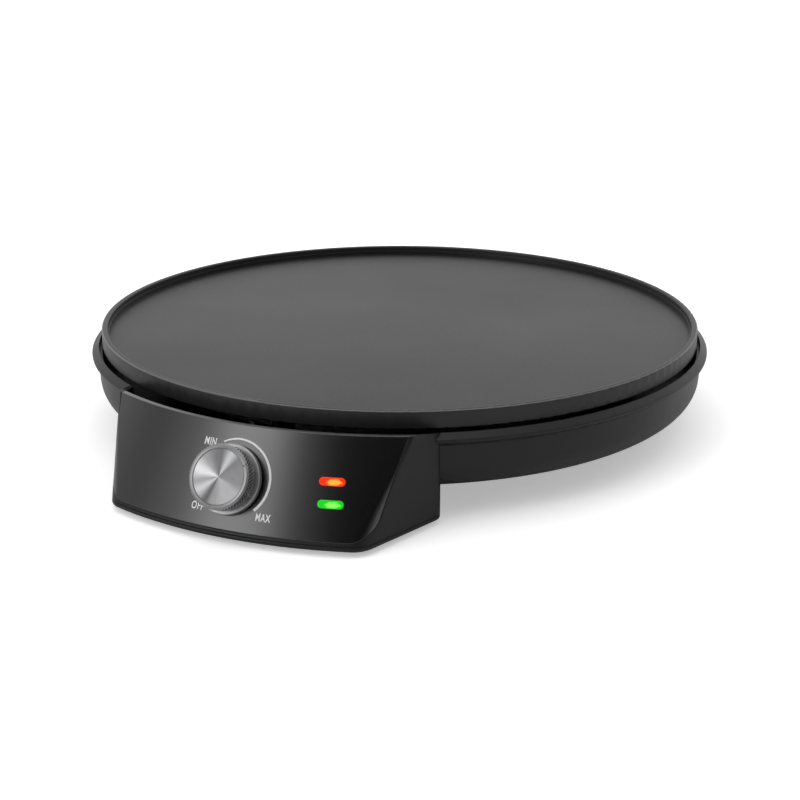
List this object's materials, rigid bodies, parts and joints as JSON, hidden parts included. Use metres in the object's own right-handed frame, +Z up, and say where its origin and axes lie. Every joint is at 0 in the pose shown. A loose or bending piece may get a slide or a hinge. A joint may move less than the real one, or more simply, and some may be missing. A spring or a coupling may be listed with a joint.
{
  "type": "electric crepe maker",
  "caption": "Round electric hot plate for crepes on a shallow black base with a raked control pod, thermostat knob and indicator lamps.",
  "frame": {"origin": "centre of the footprint on the table; the plate's own axis stands 18.5 mm behind it", "axes": "+Z up, control pod and knob towards -Y, cord gland towards +Y"},
  "size_m": [0.3416, 0.3791, 0.055],
  "materials": {
    "plate_coating": "matte dark grey non-stick coating on cast aluminium",
    "element_steel": "dull sheathed tube",
    "zinc_steel": "zinc-plated",
    "shield_metal": "mill finish sheet",
    "housing_plastic": "satin black",
    "panel_gloss": "gloss black",
    "foot_rubber": "matte black",
    "knob_metal": "spun face, knurled grip",
    "knob_plastic": "silver satin",
    "ceramic_white": "unglazed ceramic",
    "brass": "bright",
    "copper": "drawn copper",
    "red_lens": "clear red, lit",
    "green_lens": "clear green, lit",
    "lamp_glass": "small neon lamp",
    "holder_plastic": "natural nylon",
    "gland_nylon": "black nylon",
    "block_nylon": "natural nylon",
    "brown_wire": "insulation",
    "blue_wire": "insulation",
    "earth_wire_sleeve": "green and yellow insulation",
    "glass_sleeve": "braided glass-fibre sleeve"
  },
  "bodies": {
    "cooker": {"heating_plate": "plate_coating", "heating_element": "element_steel", "element_terminals": "zinc_steel", "heat_shield": "shield_metal", "plate_spacers": "zinc_steel", "plate_screws": "zinc_steel", "base_housing": "housing_plastic", "control_panel": "panel_gloss", "panel_screws": "zinc_steel", "pod_cover": "housing_plastic", "cover_screws": "zinc_steel", "front_feet": "foot_rubber", "rear_feet": "foot_rubber", "thermostat_body": "ceramic_white", "thermostat_bracket": "zinc_steel", "thermostat_screws": "zinc_steel", "thermostat_tabs": "brass", "capillary_tube": "copper", "sensing_bulb": "copper", "bulb_clip": "zinc_steel", "thermal_fuse": "ceramic_white", "fuse_clip": "zinc_steel", "clip_screws": "zinc_steel", "power_lens": "red_lens", "ready_lens": "green_lens", "power_lamp": "lamp_glass", "ready_lamp": "lamp_glass", "lamp_holder": "holder_plastic", "cord_gland": "gland_nylon", "terminal_block": "block_nylon", "terminal_screws": "brass", "live_wire": "brown_wire", "neutral_wire": "blue_wire", "earth_wire": "earth_wire_sleeve", "heater_wire": "glass_sleeve"},
    "knob": {"knob_cap": "knob_metal", "knob_core": "knob_plastic", "knob_spring": "zinc_steel", "thermostat_shaft": "zinc_steel"}
  },
  "joints": [
    {"name": "knob_turn", "type": "hinge", "parent": "cooker", "child": "knob", "pos_m": [0, -0.17322, 0.0262], "axis": [0, 0.8829, -0.4695], "range_deg": [-195, 75]}
  ]
}
